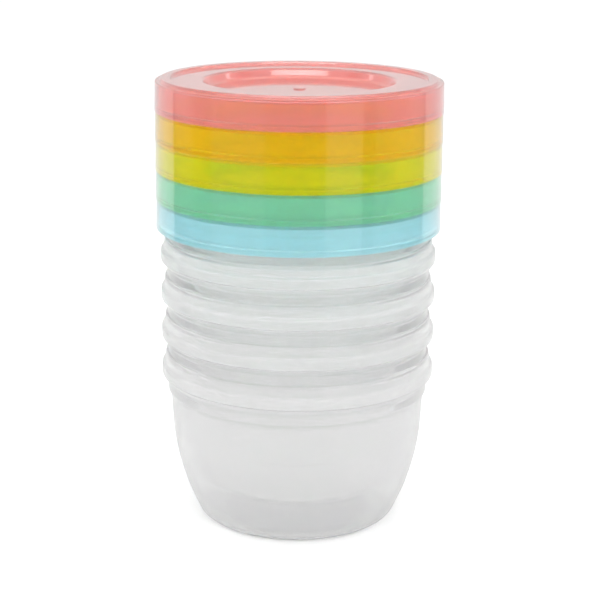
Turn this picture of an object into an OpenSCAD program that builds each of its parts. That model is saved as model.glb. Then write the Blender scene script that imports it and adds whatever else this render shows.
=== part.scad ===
// Five nested snap-lid food bowls with their five lids stacked on the top bowl.
// Millimetres, +Z up, origin on the axis at the foot of the bottom bowl.

/* [Lid] */
// Outer radius at the bottom of the lid's skirt
lid_r = 50; // [46:0.5:60]
// Visible skirt of a lid, which is also the step from one stacked lid to the next
lid_pitch = 10.2; // [9.4:0.1:13]
// Wall of the lid
lid_wall = 0.9; // [0.7:0.05:1.1]
// How much narrower the skirt is at its shoulder than at its bottom
skirt_draft = 0.25; // [0:0.05:0.5]
// Height of the raised rim above the shoulder that carries the next lid
rim_rise = 1; // [0.9:0.1:1.6]
// Drop from the raised rim to the flat panel inside it
panel_drop = 1; // [0.9:0.1:1.6]
// Depth of the round well below the panel
well_drop = 3.2; // [2:0.1:3.8]
// Radius of the floor of the well
well_r = 32; // [26:0.5:34]
// Radius of the gate mark in the middle of the well
gate_r = 2; // [1:0.25:3]

/* [Bowl] */
// Height of one bowl
bowl_h = 61; // [59:1:70]
// Wall of the bowl
bowl_wall = 0.55; // [0.45:0.05:0.7]
// Step from one nested bowl to the next
nest_pitch = 13.85; // [13:0.05:16]
// Height of the plain upper tier of the rim
tier_h = 3.6; // [3.2:0.1:4]
// Height of the snap bead under that tier
bead_h = 4.2; // [3.4:0.1:4.6]
// Thickness of the lip that the next bowl's ledge sits on
lip_t = 1.4; // [1.1:0.05:1.6]
// How far the heel lies inside the top of the body
heel_in = 5.6; // [5:0.1:6]
// Height of the heel above the foot
heel_h = 11.4; // [9:0.2:12]
// How far the edge of the foot lies inside the top of the body
foot_in = 10.6; // [9.6:0.2:12]
// Height at which the straight flank begins to turn in
flank_h = 26; // [25:0.2:30]
// Length of the slope from heel to flank that the heel's rounding takes
heel_turn = 2.05; // [1.5:0.05:3]
// Straight length of that slope left between the two roundings
slope_straight = 3.3; // [2:0.1:5]
// Rise of the bowl's bottom inside its foot ring
push_up = 0.5; // [0.3:0.05:0.8]

/* [Fits] */
// Radial room between the skirt and the bead
bead_clear = 0.6; // [0.4:0.05:0.7]
// Radial room between the bead and the snap ridge inside the skirt
ridge_clear = 0.1; // [0.05:0.05:0.2]
// Radial room between a skirt and the raised rim of the lid under it
stack_clear = 0.8; // [0.6:0.05:1]
// Radial room between the lip and the channel in the lid
lip_clear = 0.3; // [0.2:0.05:0.4]
// Radial room between the lip and the lid's plug wall
plug_clear = 0.2; // [0.15:0.05:0.4]
// Radial room between a bowl's body and the lip it passes through
nest_clear = 0.3; // [0.2:0.05:0.4]
// Room between the flanks of two nested bowls
flank_gap = 0.17; // [0.12:0.01:0.25]

/* [Hidden] */
$fn = 96;
chord = 0.012;

// Lid: radii from the skirt inwards, then heights above the skirt's bottom
skirt_in = lid_r - lid_wall;
bead_r = skirt_in - bead_clear;
ridge_r = bead_r + ridge_clear;
rim_r = skirt_in - stack_clear;
channel_r = rim_r - lid_wall;
lip_r = channel_r - lip_clear;
lip_in = lip_r - lip_t;
plug_r = lip_in - plug_clear;
rim_in = plug_r - lid_wall;
rim_z = lid_pitch + rim_rise;
panel_z = rim_z - panel_drop;
well_z = panel_z - well_drop;
seat_z = rim_z - lid_wall;

// Bowl: the body is drafted so that wall and gap fit into one nesting step
ledge_h = bowl_h - nest_pitch;
body_r = lip_in - nest_clear;
draft = (bowl_wall + flank_gap) / nest_pitch;
flank_r = body_r - draft * (ledge_h - flank_h);
bead_top = bowl_h - tier_h - 0.9;
bead_low = bead_top - bead_h + 0.9;
neck_h = bead_low - 2.6;
heel_r = body_r - heel_in;
foot_r = body_r - foot_in;
flank_turn = norm([flank_r - heel_r, flank_h - heel_h]) - heel_turn - slope_straight;

// Where the pieces stand in the stack
lid_base = 4 * nest_pitch + bowl_h - seat_z;

function flat(c) = [c.x, c.y];
function unit(v) = v / norm(v);
function turned(v, a) = [v.x * cos(a) - v.y * sin(a), v.x * sin(a) + v.y * cos(a)];
function left_of(a, b) = unit([a.y - b.y, b.x - a.x]);

// Radius of the rounding of corner b that takes the length t of each leg
function fillet(a, b, c, t) = t * tan(acos(unit(a - b) * unit(c - b)) / 2);

// Which way an outline turns at b: 1 to the left, -1 to the right
function side(a, b, c) = sign(cross(flat(b) - flat(a), flat(c) - flat(b)));

// Steps that keep an arc within the chord error
function arc_steps(radius, sweep) = max(2, ceil(sweep / (2 * acos(1 - min(chord / radius, 0.5)))));

// The arc that rounds corner b, given as [r, z, radius]
function corner_arc(a, b, c) =
    let (u = unit(flat(a) - flat(b)))
    let (v = unit(flat(c) - flat(b)))
    let (half = acos(u * v) / 2)
    let (centre = flat(b) + unit(u + v) * b.z / sin(half))
    let (start = flat(b) + u * b.z / tan(half) - centre)
    let (sweep = side(a, b, c) * (180 - 2 * half))
    let (steps = arc_steps(b.z, abs(sweep)))
    [for (i = [0 : steps]) centre + turned(start, sweep * i / steps)];

// An outline with each corner rounded by its own radius; 0 leaves it sharp
function rounded(c) =
    let (last = len(c) - 1)
    [for (i = [0 : last])
        each (i == 0 || i == last || c[i].z == 0 ? [flat(c[i])] : corner_arc(c[i - 1], c[i], c[i + 1]))];

// The parallel outline at distance t on the left, with its radii adjusted
function parallel(c, t) =
    let (last = len(c) - 1)
    [for (i = [0 : last])
        let (n = left_of(c[max(i, 1) - 1], c[max(i, 1)]))
        let (m = left_of(c[min(i, last - 1)], c[min(i, last - 1) + 1]))
        let (shift = (n + m) * t / (1 + n * m))
        let (turn = i == 0 || i == last ? 0 : side(c[i - 1], c[i], c[i + 1]))
        [c[i].x + shift.x, c[i].y + shift.y, max(c[i].z - turn * t, 0)]];

function reversed(c) = [for (i = [len(c) - 1 : -1 : 0]) c[i]];

// Bowl wall from the middle of the foot to the tier
foot = [foot_r, 0];
heel = [heel_r, heel_h];
flank = [flank_r, flank_h];
ledge = [body_r, ledge_h];
foot_line = [[0, push_up, 0],
             [foot_r - 8, push_up, 1],
             [foot_r - 7, 0, 1],
             [foot_r, 0, 5],
             [heel_r, heel_h, fillet(foot, heel, flank, heel_turn)],
             [flank_r, flank_h, fillet(heel, flank, ledge, flank_turn)]];
rim_line = [[body_r + 1, neck_h, 1.2],
            [bead_r, bead_low, 1],
            [bead_r, bead_top, 0.8],
            [lip_r + 0.3, bowl_h - tier_h, 0.8]];

bowl_outside = concat([[0, push_up - 0.3, 0],
                       [1.5, push_up - 0.3, 0.1],
                       [1.5, push_up, 0]],
                      [for (i = [1 : 5]) foot_line[i]],
                      [[body_r, ledge_h, 0.15],
                       [body_r + 1, ledge_h, 0.15]],
                      rim_line,
                      [[lip_r, bowl_h, 0.4],
                       [lip_in, bowl_h, 0.2],
                       [lip_in, bowl_h - 0.8, 0.2],
                       [lip_r - bowl_wall, bowl_h - 1.6, 0.4]]);
wall_line = concat(foot_line, [[body_r, ledge_h, 3]], rim_line, [[lip_r, bowl_h, 0]]);
wall_inside = parallel(wall_line, bowl_wall);
bowl_outline = concat(bowl_outside, reversed([for (i = [0 : len(wall_line) - 2]) wall_inside[i]]));

// Lid from the middle of the well over the rim to the bottom of the skirt
well_line = [[0, well_z, 0],
             [well_r, well_z, 1.2],
             [well_r + 1.4, panel_z, 1.3],
             [rim_in - 0.4, panel_z, 0.6]];
well_under = parallel(well_line, -lid_wall);
lid_top = concat([[0, well_z + 0.4, 0],
                  [gate_r, well_z + 0.4, 0.25],
                  [gate_r + 0.3, well_z, 0.15]],
                 [for (i = [1 : 3]) well_line[i]],
                 [[rim_in, rim_z, 0.6],
                  [rim_r - 0.3, rim_z, 0.9],
                  [rim_r, lid_pitch, 0.15],
                  [lid_r - skirt_draft, lid_pitch, 0.3],
                  [lid_r, 0, 0.2]]);
lid_under = [[skirt_in, 0, 0.15],
             [skirt_in, 0.7, 0.2],
             [ridge_r, 1.4, 0.35],
             [skirt_in, 2.2, 0.2],
             [skirt_in - skirt_draft, lid_pitch - lid_wall, 0.4],
             [channel_r, lid_pitch - lid_wall, 0.2],
             [channel_r - 0.1, seat_z, 0.3],
             [plug_r, seat_z, 0.3],
             [plug_r - 0.25, panel_z - lid_wall, 0.4],
             well_under[2],
             well_under[1],
             well_under[0]];
lid_outline = concat(lid_top, lid_under);

module bowl(level) {
    color([0.90, 0.92, 0.92, 0.45])
        translate([0, 0, level * nest_pitch])
            rotate_extrude()
                polygon(rounded(bowl_outline));
}

module lid(level, tint) {
    color(tint)
        translate([0, 0, lid_base + level * lid_pitch])
            rotate_extrude()
                polygon(rounded(lid_outline));
}

module bottom_bowl() {
    bowl(0);
}

module second_bowl() {
    bowl(1);
}

module third_bowl() {
    bowl(2);
}

module fourth_bowl() {
    bowl(3);
}

module top_bowl() {
    bowl(4);
}

module blue_lid() {
    lid(0, [0.45, 0.80, 0.90, 0.7]);
}

module green_lid() {
    lid(1, [0.42, 0.80, 0.62, 0.7]);
}

module yellow_lid() {
    lid(2, [0.85, 0.84, 0.16, 0.7]);
}

module orange_lid() {
    lid(3, [0.95, 0.70, 0.10, 0.7]);
}

module red_lid() {
    lid(4, [0.92, 0.45, 0.40, 0.7]);
}

bottom_bowl();
second_bowl();
third_bowl();
fourth_bowl();
top_bowl();
blue_lid();
green_lid();
yellow_lid();
orange_lid();
red_lid();
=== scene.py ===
# %% [markdown]
# # Nested snap lid bowls
#
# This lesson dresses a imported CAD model: five clear bowls nested in each other, with five
# translucent lids stacked on the top one. Every piece is a body of revolution, so one rule makes
# all of them: a rounded outline turned about the axis, as on a lathe. Everything else is finish and
# light, which is where thin translucent plastic is won or lost.

# %% Load the frame
import math

import bpy
from mathutils import Matrix, Vector


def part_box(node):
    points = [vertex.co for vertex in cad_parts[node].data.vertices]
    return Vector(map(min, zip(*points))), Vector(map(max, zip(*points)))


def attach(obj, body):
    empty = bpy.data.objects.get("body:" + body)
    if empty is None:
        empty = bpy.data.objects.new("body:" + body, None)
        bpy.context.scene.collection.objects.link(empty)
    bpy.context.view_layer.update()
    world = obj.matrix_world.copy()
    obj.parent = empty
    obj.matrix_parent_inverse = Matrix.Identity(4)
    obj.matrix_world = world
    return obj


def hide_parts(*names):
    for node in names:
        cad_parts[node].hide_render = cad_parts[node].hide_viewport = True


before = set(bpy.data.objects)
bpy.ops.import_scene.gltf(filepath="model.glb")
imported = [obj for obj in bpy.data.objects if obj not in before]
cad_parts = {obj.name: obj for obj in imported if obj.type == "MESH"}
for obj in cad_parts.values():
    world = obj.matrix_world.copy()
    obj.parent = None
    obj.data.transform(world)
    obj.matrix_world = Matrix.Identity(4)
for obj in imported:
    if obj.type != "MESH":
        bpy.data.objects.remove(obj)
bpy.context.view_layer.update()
print("CAD nodes:", sorted(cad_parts))

# %% [markdown]
# ## Sizes
#
# The outlines use the same named sizes as the CAD source, in millimetres, so a turned piece covers
# its CAD node. A lid and a bowl each have a few driving sizes. The last group is the room that two
# pieces leave each other, which decides how the set nests, stacks and closes.

# %% Driving sizes
MM = 0.001

# Lid
LID_R = 50.0
LID_PITCH = 10.2
LID_WALL = 0.9
SKIRT_DRAFT = 0.25
RIM_RISE = 1.0
PANEL_DROP = 1.0
WELL_DROP = 3.2
WELL_R = 32.0
GATE_R = 2.0

# Bowl
BOWL_H = 61.0
BOWL_WALL = 0.55
NEST_PITCH = 13.85
TIER_H = 3.6
TIER_SLOPE = 0.9
BEAD_SIDE = 3.3
BEAD_SLOPE = 2.6
LIP_T = 1.4
FLANK_H = 26.0
HEEL_H = 11.4
HEEL_IN = 5.6
FOOT_IN = 10.6
PUSH_UP = 0.5
NEST_STEPS = 4

# Room between two pieces
BEAD_CLEAR = 0.6
RIDGE_CLEAR = 0.1
STACK_CLEAR = 0.8
LIP_CLEAR = 0.3
PLUG_CLEAR = 0.2
NEST_CLEAR = 0.3
FLANK_GAP = 0.17
print(f"lid {2 * LID_R:.0f} mm wide, bowl {BOWL_H:.0f} mm tall, nesting step {NEST_PITCH} mm")

# %% [markdown]
# The other radii run from the lid's skirt inwards, each one tied to the last by a wall or by such
# room. Heights count from the bottom of the skirt on a lid and from the foot on a bowl.

# %% Sizes that follow
SKIRT_IN = LID_R - LID_WALL
BEAD_R = SKIRT_IN - BEAD_CLEAR
RIDGE_R = BEAD_R + RIDGE_CLEAR
RIM_R = SKIRT_IN - STACK_CLEAR
CHANNEL_R = RIM_R - LID_WALL
LIP_R = CHANNEL_R - LIP_CLEAR
LIP_IN = LIP_R - LIP_T
PLUG_R = LIP_IN - PLUG_CLEAR
RIM_IN = PLUG_R - LID_WALL
RIM_Z = LID_PITCH + RIM_RISE
PANEL_Z = RIM_Z - PANEL_DROP
WELL_Z = PANEL_Z - WELL_DROP
SEAT_Z = RIM_Z - LID_WALL

LEDGE_H = BOWL_H - NEST_PITCH
BODY_R = LIP_IN - NEST_CLEAR
FLANK_DRAFT = (BOWL_WALL + FLANK_GAP) / NEST_PITCH
FLANK_R = BODY_R - FLANK_DRAFT * (LEDGE_H - FLANK_H)
HEEL_R = BODY_R - HEEL_IN
FOOT_R = BODY_R - FOOT_IN
BEAD_TOP = BOWL_H - TIER_H - TIER_SLOPE
BEAD_LOW = BEAD_TOP - BEAD_SIDE
NECK_H = BEAD_LOW - BEAD_SLOPE

LID_BASE = NEST_STEPS * NEST_PITCH + BOWL_H - SEAT_Z

# %% [markdown]
# ## Outlines with rounded corners
#
# A moulded piece has no sharp corner: the tool's cutter leaves a radius on each. So an outline is a
# short list of corners `(r, z, radius)`, and a helper swaps each corner for an arc. Smooth shading
# averages the normals of neighbouring faces, which would smear a corner's shine over the flat beside
# it. A point placed a hair before and after each arc holds the flat's own normal, the same job that
# a support loop does in hand modelling.

# %% Rounded outline
ARC_STEP = math.radians(9)
FEWEST_STEPS = 3
LONGEST_CHORD = 1.2
HOLD = 0.05
SHORTEST_HELD = 4 * HOLD
SAME_POINT = 1e-6


def turn_at(a, b, c):
    """1 where the outline turns left at b, -1 where it turns right."""
    cross = (b[0] - a[0]) * (c[1] - b[1]) - (b[1] - a[1]) * (c[0] - b[0])
    return 1 if cross > 0 else -1


def corner_arc(a, b, c):
    """Points of the arc that rounds corner b."""
    corner = Vector(b[:2])
    u = (Vector(a[:2]) - corner).normalized()
    v = (Vector(c[:2]) - corner).normalized()
    half = u.angle(v) / 2
    centre = corner + (u + v).normalized() * b[2] / math.sin(half)
    spoke = corner + u * b[2] / math.tan(half) - centre
    sweep = turn_at(a, b, c) * (math.pi - 2 * half)
    by_angle = math.ceil(abs(sweep) / ARC_STEP)
    by_chord = math.ceil(abs(sweep) * b[2] / LONGEST_CHORD)
    steps = max(FEWEST_STEPS, by_angle, by_chord)
    return [centre + Matrix.Rotation(sweep * i / steps, 2) @ spoke for i in range(steps + 1)]


def rounded(corners):
    """The outline as points, with each corner rounded and each straight held at both ends."""
    runs = [[Vector(corners[0][:2])]]
    for a, b, c in zip(corners, corners[1:], corners[2:]):
        runs.append(corner_arc(a, b, c) if b[2] else [Vector(b[:2])])
    runs.append([Vector(corners[-1][:2])])
    points = list(runs[0])
    for run in runs[1:]:
        straight = run[0] - points[-1]
        if straight.length > SHORTEST_HELD:
            hold = straight.normalized() * HOLD
            points += [points[-1] + hold, run[0] - hold]
        points += run if straight.length > SAME_POINT else run[1:]
    return points


def parallel(corners, distance):
    """The outline at a distance on the left, with its radii adjusted."""
    last = len(corners) - 1
    edges = [(Vector(b[:2]) - Vector(a[:2])).normalized() for a, b in zip(corners, corners[1:])]
    normals = [Vector((-e.y, e.x)) for e in edges]
    moved = []
    for i, corner in enumerate(corners):
        n, m = normals[max(i - 1, 0)], normals[min(i, last - 1)]
        place = Vector(corner[:2]) + (n + m) * distance / (1 + n.dot(m))
        turn = turn_at(*corners[i - 1:i + 2]) if 0 < i < last else 0
        moved.append((place.x, place.y, max(corner[2] - turn * distance, 0)))
    return moved


print("helpers ready: rounded, parallel")

# %% [markdown]
# ## The bowl's outline
#
# Read it from the middle of the foot: a gate mark, a shallow push-up, the foot ring, the big heel
# curve, the drafted flank, the ledge that sits on the lip of the bowl below, the snap bead, the
# plain tier and the thick lip. The inside runs parallel to it, half a millimetre in.

# %% Bowl outline
GATE_MARK_R = 1.5
GATE_MARK_Z = PUSH_UP - 0.3
RING_IN_R = FOOT_R - 7
PUSH_UP_R = FOOT_R - 8
FOOT_ROUND = 5
HEEL_ROUND = 35.8
FLANK_ROUND = 80
LEDGE_R = BODY_R + 1
LEDGE_ROUND_INSIDE = 3
TIER_R = LIP_R + 0.3
LIP_UNDER = BOWL_H - 0.8
LIP_END = BOWL_H - 1.6

foot_line = [(0, PUSH_UP, 0), (PUSH_UP_R, PUSH_UP, 1), (RING_IN_R, 0, 1), (FOOT_R, 0, FOOT_ROUND),
             (HEEL_R, HEEL_H, HEEL_ROUND), (FLANK_R, FLANK_H, FLANK_ROUND)]
rim_line = [(LEDGE_R, NECK_H, 1.2), (BEAD_R, BEAD_LOW, 1), (BEAD_R, BEAD_TOP, 0.8),
            (TIER_R, BOWL_H - TIER_H, 0.8)]
gate_mark = [(0, GATE_MARK_Z, 0), (GATE_MARK_R, GATE_MARK_Z, 0.1), (GATE_MARK_R, PUSH_UP, 0)]
ledge = [(BODY_R, LEDGE_H, 0.15), (LEDGE_R, LEDGE_H, 0.15)]
lip = [(LIP_R, BOWL_H, 0.4), (LIP_IN, BOWL_H, 0.2), (LIP_IN, LIP_UNDER, 0.2),
       (LIP_R - BOWL_WALL, LIP_END, 0.4)]
wall_line = foot_line + [(BODY_R, LEDGE_H, LEDGE_ROUND_INSIDE)] + rim_line + [(LIP_R, BOWL_H, 0)]
inside = parallel(wall_line, BOWL_WALL)[:-1]
# Walked from the inside to the foot, as the lid is walked from its top, so that faces point outwards
bowl_outline = rounded(gate_mark + foot_line[1:] + ledge + rim_line + lip + inside[::-1])[::-1]
print("bowl outline:", len(bowl_outline), "points")

# %% [markdown]
# ## The lid's outline
#
# From the middle outwards: the gate mark, the round well that takes the foot of another bowl, the
# flat panel, the raised rim, the shoulder that carries the next lid, and the skirt. Underneath, the
# raised rim is a channel for the bowl's lip, and a small ridge inside the skirt snaps under the bead.

# %% Lid outline
GATE_Z = WELL_Z + 0.4
GATE_FOOT_R = GATE_R + 0.3
WELL_TOP_R = WELL_R + 1.4
RIM_FOOT_R = RIM_IN - 0.4
RIM_TOP_R = RIM_R - 0.3
RIDGE_LOW, RIDGE_Z, RIDGE_TOP = 0.7, 1.4, 2.2
SHOULDER_UNDER = LID_PITCH - LID_WALL
PANEL_UNDER = PANEL_Z - LID_WALL
CHANNEL_TOP_R = CHANNEL_R - 0.1
PLUG_END_R = PLUG_R - 0.25

well_line = [(0, WELL_Z, 0), (WELL_R, WELL_Z, 1.2), (WELL_TOP_R, PANEL_Z, 1.3),
             (RIM_FOOT_R, PANEL_Z, 0.6)]
well_under = parallel(well_line, -LID_WALL)
gate_boss = [(0, GATE_Z, 0), (GATE_R, GATE_Z, 0.25), (GATE_FOOT_R, WELL_Z, 0.15)]
rim_and_skirt = [(RIM_IN, RIM_Z, 0.6), (RIM_TOP_R, RIM_Z, 0.9), (RIM_R, LID_PITCH, 0.15),
                 (LID_R - SKIRT_DRAFT, LID_PITCH, 0.3), (LID_R, 0, 0.2), (SKIRT_IN, 0, 0.15)]
snap_ridge = [(SKIRT_IN, RIDGE_LOW, 0.2), (RIDGE_R, RIDGE_Z, 0.35), (SKIRT_IN, RIDGE_TOP, 0.2)]
channel = [(SKIRT_IN - SKIRT_DRAFT, SHOULDER_UNDER, 0.4), (CHANNEL_R, SHOULDER_UNDER, 0.2),
           (CHANNEL_TOP_R, SEAT_Z, 0.3), (PLUG_R, SEAT_Z, 0.3), (PLUG_END_R, PANEL_UNDER, 0.4)]
underside = snap_ridge + channel + well_under[2::-1]
lid_outline = rounded(gate_boss + well_line[1:] + rim_and_skirt + underside)
print("lid outline:", len(lid_outline), "points")

# %% [markdown]
# ## A lathe in Geometry Nodes
#
# The Spin tool or the Screw modifier would also turn an outline, but a node tree keeps the rule in
# view. A grid has one row of vertices for each point of the outline and one column for each step
# round the axis. Each vertex looks up its outline point by index and moves to that radius, height
# and angle. Merging by distance then closes the seam and the poles.

# %% Lathe node tree
MERGE_DISTANCE = 1e-6


def add_node(tree, kind, inputs=(), **settings):
    """A node with its settings made and its inputs filled, by link or by value."""
    made = tree.nodes.new(kind)
    for name, value in settings.items():
        setattr(made, name, value)
    for key, value in dict(inputs).items():
        if isinstance(value, bpy.types.NodeSocket):
            tree.links.new(value, made.inputs[key])
        else:
            made.inputs[key].default_value = value
    return made


def lathe_tree():
    """A node group that turns the points of a mesh, with x as radius and z as height."""
    tree = bpy.data.node_groups.new("lathe", "GeometryNodeTree")
    sockets = tree.interface
    sockets.new_socket("Geometry", in_out="INPUT", socket_type="NodeSocketGeometry")
    for name, kind in (("Steps", "NodeSocketInt"), ("Height", "NodeSocketFloat"),
                       ("Finish", "NodeSocketMaterial")):
        sockets.new_socket(name, in_out="INPUT", socket_type=kind)
    sockets.new_socket("Geometry", in_out="OUTPUT", socket_type="NodeSocketGeometry")

    given = tree.nodes.new("NodeGroupInput").outputs
    count = add_node(tree, "GeometryNodeAttributeDomainSize", {"Geometry": given["Geometry"]})
    columns = add_node(tree, "ShaderNodeMath", {0: given["Steps"], 1: 1.0}, operation="ADD")
    grid = add_node(tree, "GeometryNodeMeshGrid", {
        "Vertices X": count.outputs["Point Count"], "Vertices Y": columns.outputs[0]})
    index = tree.nodes.new("GeometryNodeInputIndex").outputs[0]
    share = add_node(tree, "ShaderNodeMath", {0: index, 1: columns.outputs[0]}, operation="DIVIDE")
    row = add_node(tree, "ShaderNodeMath", {0: share.outputs[0]}, operation="FLOOR")
    column = add_node(tree, "ShaderNodeMath", {0: index, 1: columns.outputs[0]}, operation="MODULO")
    place = tree.nodes.new("GeometryNodeInputPosition").outputs[0]
    point = add_node(tree, "GeometryNodeSampleIndex", {
        "Geometry": given["Geometry"], "Value": place, "Index": row.outputs[0]},
        data_type="FLOAT_VECTOR", domain="POINT")
    turn = add_node(tree, "ShaderNodeMath", {
        0: column.outputs[0], 1: given["Steps"]}, operation="DIVIDE")
    angle = add_node(tree, "ShaderNodeMath", {0: turn.outputs[0], 1: math.tau}, operation="MULTIPLY")
    turned = add_node(tree, "ShaderNodeVectorRotate", {
        "Vector": point.outputs["Value"], "Angle": angle.outputs[0]}, rotation_type="Z_AXIS")
    lift = add_node(tree, "ShaderNodeCombineXYZ", {"Z": given["Height"]})
    placed = add_node(tree, "GeometryNodeSetPosition", {
        "Geometry": grid.outputs["Mesh"], "Position": turned.outputs[0], "Offset": lift.outputs[0]})
    merged = add_node(tree, "GeometryNodeMergeByDistance", {
        "Geometry": placed.outputs[0], "Distance": MERGE_DISTANCE})
    smooth = add_node(tree, "GeometryNodeSetShadeSmooth", {"Geometry": merged.outputs[0]})
    real = add_node(tree, "GeometryNodeRealizeInstances", {"Geometry": smooth.outputs[0]})
    done = add_node(tree, "GeometryNodeSetMaterial", {
        "Geometry": real.outputs[0], "Material": given["Finish"]})
    out = tree.nodes.new("NodeGroupOutput")
    tree.links.new(done.outputs[0], out.inputs["Geometry"])
    return tree


LATHE = lathe_tree()
print("lathe tree:", len(LATHE.nodes), "nodes")

# %% [markdown]
# A modifier's inputs are set by their identifiers before the first evaluation. The evaluated result
# becomes a plain mesh, the modifier goes, and the piece takes the place of its CAD node.

# %% A turned piece
LATHE_STEPS = 160


def turn_piece(node, outline, height, finish):
    """Turns an outline into the piece that stands for a CAD node."""
    mesh = bpy.data.meshes.new(node + "_outline")
    mesh.from_pydata([(p.x * MM, 0, p.y * MM) for p in outline],
                     [(i, i + 1) for i in range(len(outline) - 1)], [])
    piece = bpy.data.objects.new(node + "_turned", mesh)
    bpy.context.scene.collection.objects.link(piece)
    lathe = piece.modifiers.new("lathe", "NODES")
    lathe.node_group = LATHE
    given = {"Steps": LATHE_STEPS, "Height": height * MM, "Finish": finish}
    for item in LATHE.interface.items_tree:
        if item.in_out == "INPUT" and item.name in given:
            lathe[item.identifier] = given[item.name]
    evaluated = piece.evaluated_get(bpy.context.evaluated_depsgraph_get())
    piece.data = bpy.data.meshes.new_from_object(evaluated)
    piece.modifiers.remove(lathe)
    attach(piece, node)
    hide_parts(node)
    cad_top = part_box(node)[1].z
    gap = max(v.co.z for v in piece.data.vertices) - cad_top
    print(f"{piece.name}: {len(piece.data.polygons)} faces, top {gap / MM:+.2f} mm from its CAD node")


print("lathe ready with", LATHE_STEPS, "steps round the axis")

# %% [markdown]
# ## Translucent plastic
#
# Thin polypropylene lets most light through, tints it a little at every wall and scatters some of
# it, so it looks milky. One Principled shader holds all of this: transmission for what passes,
# roughness for the milky blur, base colour for the tint, and the share left over as a soft body. A
# thin coat keeps the skin glossy over the blurred inside. Mould texture is never perfectly even, so a
# slow noise moves the roughness and a faint bump makes the reflections waver.

# %% Plastic finishes
PLASTIC_IOR = 1.49
COAT_ROUGH = 0.05
GLOSS_SPREAD = (0.8, 1.25)
CLOUD_SCALE = 60.0
SWELL_SCALE = 45.0
SWELL_STRENGTH = 0.1
SWELL_DEPTH = 0.0004


def plastic(name, tint, clear, rough, coat):
    """Translucent moulded plastic with slightly uneven gloss."""
    material = bpy.data.materials.new(name)
    material.use_nodes = True
    tree = material.node_tree
    shader = tree.nodes["Principled BSDF"]
    shader.inputs["Base Color"].default_value = (*tint, 1)
    shader.inputs["Transmission Weight"].default_value = clear
    shader.inputs["IOR"].default_value = PLASTIC_IOR
    shader.inputs["Coat Weight"].default_value = coat
    shader.inputs["Coat Roughness"].default_value = COAT_ROUGH
    place = tree.nodes.new("ShaderNodeTexCoord").outputs["Object"]
    cloud = add_node(tree, "ShaderNodeTexNoise", {"Vector": place, "Scale": CLOUD_SCALE, "Detail": 3.0})
    smoothest, dullest = (rough * spread for spread in GLOSS_SPREAD)
    gloss = add_node(tree, "ShaderNodeMapRange", {
        "Value": cloud.outputs["Fac"], "To Min": smoothest, "To Max": dullest})
    tree.links.new(gloss.outputs["Result"], shader.inputs["Roughness"])
    swell = add_node(tree, "ShaderNodeTexNoise", {"Vector": place, "Scale": SWELL_SCALE, "Detail": 1.0})
    bump = add_node(tree, "ShaderNodeBump", {
        "Height": swell.outputs["Fac"], "Strength": SWELL_STRENGTH, "Distance": SWELL_DEPTH})
    tree.links.new(bump.outputs["Normal"], shader.inputs["Normal"])
    return material


clear_plastic = plastic("clear_plastic", (1.0, 0.998, 0.999), clear=0.8, rough=0.21, coat=0.1)
lid_tints = {
    "blue_lid": (0.57, 0.93, 1.0),
    "green_lid": (0.47, 0.91, 0.67),
    "yellow_lid": (1.0, 0.93, 0.03),
    "orange_lid": (1.0, 0.78, 0.02),
    "red_lid": (0.97, 0.51, 0.49),
}
lid_plastic = {
    lid: plastic(lid.replace("lid", "plastic"), tint, clear=0.81, rough=0.15, coat=0.8)
    for lid, tint in lid_tints.items()
}
print("finishes:", [m.name for m in (clear_plastic, *lid_plastic.values())])

# %% [markdown]
# ## Bowls and lids
#
# The tree runs once for each body, because each bowl and each lid lifts off by itself.

# %% Make the stack
BOWLS = ("bottom_bowl", "second_bowl", "third_bowl", "fourth_bowl", "top_bowl")
for level, bowl in enumerate(BOWLS):
    turn_piece(bowl, bowl_outline, level * NEST_PITCH, clear_plastic)
for level, lid in enumerate(lid_tints):
    turn_piece(lid, lid_outline, LID_BASE + level * LID_PITCH, lid_plastic[lid])

# %% [markdown]
# ## Floor and world
#
# The photo's background is plain white. A white floor under plain light would still render light
# grey, so it gives some light of its own to the rays that show it, most to those from the camera. Its
# diffuse part still darkens where the stack shades it. The world has such levels too. Plastic looks
# through to a slightly darker white than the camera sees, which sets a single clear bowl off from the
# background.

# %% White floor
def level_by_ray(tree, lighting, mirrored, through, seen):
    """A level that differs for rays that light, mirror, pass through plastic or leave the camera."""
    path = tree.nodes.new("ShaderNodeLightPath").outputs
    level = lighting
    rays = ("Is Glossy Ray", mirrored), ("Is Transmission Ray", through), ("Is Camera Ray", seen)
    for ray, other in rays:
        level = add_node(tree, "ShaderNodeMapRange", {
            "Value": path[ray], "To Min": level, "To Max": other}).outputs["Result"]
    return level


FLOOR_HALF = 3.0
FLOOR_GREY = 0.75
SIGNS = ((-1, -1), (1, -1), (1, 1), (-1, 1))
floor_mesh = bpy.data.meshes.new("floor")
floor_mesh.from_pydata([(x * FLOOR_HALF, y * FLOOR_HALF, 0) for x, y in SIGNS], [], [(0, 1, 2, 3)])
floor = bpy.data.objects.new("floor", floor_mesh)
bpy.context.scene.collection.objects.link(floor)
floor_paint = bpy.data.materials.new("floor_paint")
floor_paint.use_nodes = True
tree = floor_paint.node_tree
floor_level = level_by_ray(tree, lighting=0.0, mirrored=0.05, through=0.03, seen=0.24)
matt = add_node(tree, "ShaderNodeBsdfDiffuse", {"Color": (FLOOR_GREY, FLOOR_GREY, FLOOR_GREY, 1)})
glow = add_node(tree, "ShaderNodeEmission", {"Strength": floor_level})
both = add_node(tree, "ShaderNodeAddShader", {0: matt.outputs[0], 1: glow.outputs[0]})
tree.links.new(both.outputs[0], tree.nodes["Material Output"].inputs["Surface"])
floor_mesh.materials.append(floor_paint)
print("floor:", 2 * FLOOR_HALF, "m wide")

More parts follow.
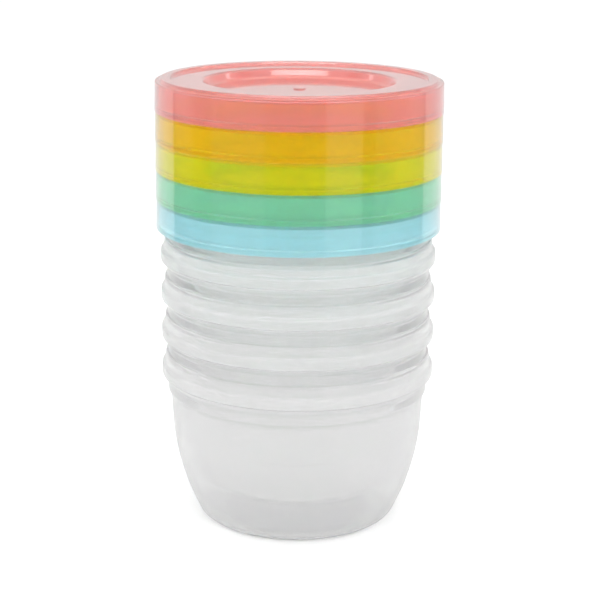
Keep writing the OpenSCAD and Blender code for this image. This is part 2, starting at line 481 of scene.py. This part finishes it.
# %% World
world = bpy.data.worlds.new("studio")
bpy.context.scene.world = world
world.use_nodes = True
tree = world.node_tree
background = tree.nodes["Background"].inputs
background["Color"].default_value = (1, 1, 1, 1)
world_level = level_by_ray(tree, lighting=1.06, mirrored=0.78, through=0.91, seen=1.0)
tree.links.new(world_level, background["Strength"])
print("world:", world.name)

# %% [markdown]
# ## Studio light
#
# The white room gives most of the light, so the softboxes stay weak: one on each side, one above and
# a long strip in front. The back wall of the well mirrors the strip and the sides as three streaks.

# %% Softboxes
STACK_MIDDLE = Vector((0, 0, 0.08))
SIDE_SIZE = (0.25, 0.6)


def softbox(name, place, size, power):
    """A rectangular area lamp turned towards the stack."""
    lamp = bpy.data.lights.new(name, "AREA")
    lamp.shape = "RECTANGLE"
    lamp.size, lamp.size_y = size
    lamp.energy = power
    box = bpy.data.objects.new(name, lamp)
    box.location = place
    box.rotation_euler = (STACK_MIDDLE - Vector(place)).to_track_quat("-Z", "Y").to_euler()
    bpy.context.scene.collection.objects.link(box)


softbox("left_softbox", (-0.75, 0.15, 0.35), SIDE_SIZE, power=1)
softbox("right_softbox", (0.75, 0.15, 0.35), SIDE_SIZE, power=1)
softbox("top_softbox", (0, 0.25, 0.9), size=(0.7, 0.5), power=0.8)
softbox("front_softbox", (0, -0.62, 0.7), size=(1.0, 0.16), power=2.2)

# %% [markdown]
# Glossy skirts also show what stands round them. In the photo they mirror upright light and dark
# bands. Painting bands on the lids would fix them in place, so a ring of curved cards in several greys
# stands round the stack instead. Only reflections see the cards, and they cast no shadow. Each card
# runs between two angles in degrees, counted from the camera's side.

# %% Reflection cards
CARD_RADIUS = 0.28
CARD_TOP = 0.35
CARD_STEPS = 8
FRONT = -90
CARDS = ((-108, -83, 0.12), (-83, -66, 0.02), (-66, -24, 0.2), (-24, 19, 0.02),
         (19, 46, 0.45), (46, 56, 0.02), (56, 108, 0.2))


def reflection_card(start, end, shade):
    """A curved card between two angles, seen only by reflections."""
    paint = bpy.data.materials.new(f"card_paint_{start}")
    paint.use_nodes = True
    shader = paint.node_tree.nodes["Principled BSDF"]
    shader.inputs["Base Color"].default_value = (shade, shade, shade, 1)
    turns = [math.radians(start + (end - start) * i / CARD_STEPS + FRONT)
             for i in range(CARD_STEPS + 1)]
    foot = [(CARD_RADIUS * math.cos(t), CARD_RADIUS * math.sin(t), 0.0) for t in turns]
    head = [(x, y, CARD_TOP) for x, y, _ in foot]
    faces = [(i, i + 1, i + CARD_STEPS + 2, i + CARD_STEPS + 1) for i in range(CARD_STEPS)]
    mesh = bpy.data.meshes.new(f"card_{start}")
    mesh.from_pydata(foot + head, [], faces)
    mesh.materials.append(paint)
    card = bpy.data.objects.new(mesh.name, mesh)
    bpy.context.scene.collection.objects.link(card)
    card.visible_camera = False
    card.visible_diffuse = False
    card.visible_transmission = False
    card.visible_shadow = False


for start, end, shade in CARDS:
    reflection_card(start, end, shade)
print("reflection cards:", len(CARDS))

# %% [markdown]
# ## Camera
#
# The place, aim and focal length come from fitting the ellipses of the lids in the photo, with the
# lid taken as 100 mm wide.

# %% Camera
CAMERA_PLACE = Vector((0, -0.5442, 0.2274))
CAMERA_AIM = Vector((0, 0, 0.0784))
CAMERA_ROLL = math.radians(0.45)
FOCAL_LENGTH = 94.65
SENSOR_WIDTH = 36
SIDE_SHIFT = 0.0037

camera_data = bpy.data.cameras.new("camera")
camera_data.lens = FOCAL_LENGTH
camera_data.sensor_width = SENSOR_WIDTH
camera_data.shift_x = SIDE_SHIFT
camera = bpy.data.objects.new("camera", camera_data)
look = (CAMERA_AIM - CAMERA_PLACE).to_track_quat("-Z", "Y").to_matrix().to_4x4()
roll = Matrix.Rotation(CAMERA_ROLL, 4, "Z")
camera.matrix_world = Matrix.Translation(CAMERA_PLACE) @ look @ roll
bpy.context.scene.collection.objects.link(camera)
bpy.context.scene.camera = camera
print("camera at", [round(x, 3) for x in CAMERA_PLACE])

# %% [markdown]
# A ray through the middle of the stack crosses about twenty plastic surfaces, so the renderer gets
# enough bounces to reach the white behind them. Otherwise the nested walls would turn black. Filter
# Glossy is off for a like reason: after each diffuse bounce it blurs the glass that follows, and over
# that many walls the blur costs half of the light.

# %% Render settings
scene = bpy.context.scene
scene.view_settings.view_transform = "Standard"
scene.cycles.max_bounces = 48
scene.cycles.transmission_bounces = 48
scene.cycles.transparent_max_bounces = 16
scene.cycles.glossy_bounces = 32
scene.cycles.diffuse_bounces = 24
scene.cycles.blur_glossy = 0.0
scene.cycles.use_denoising = True
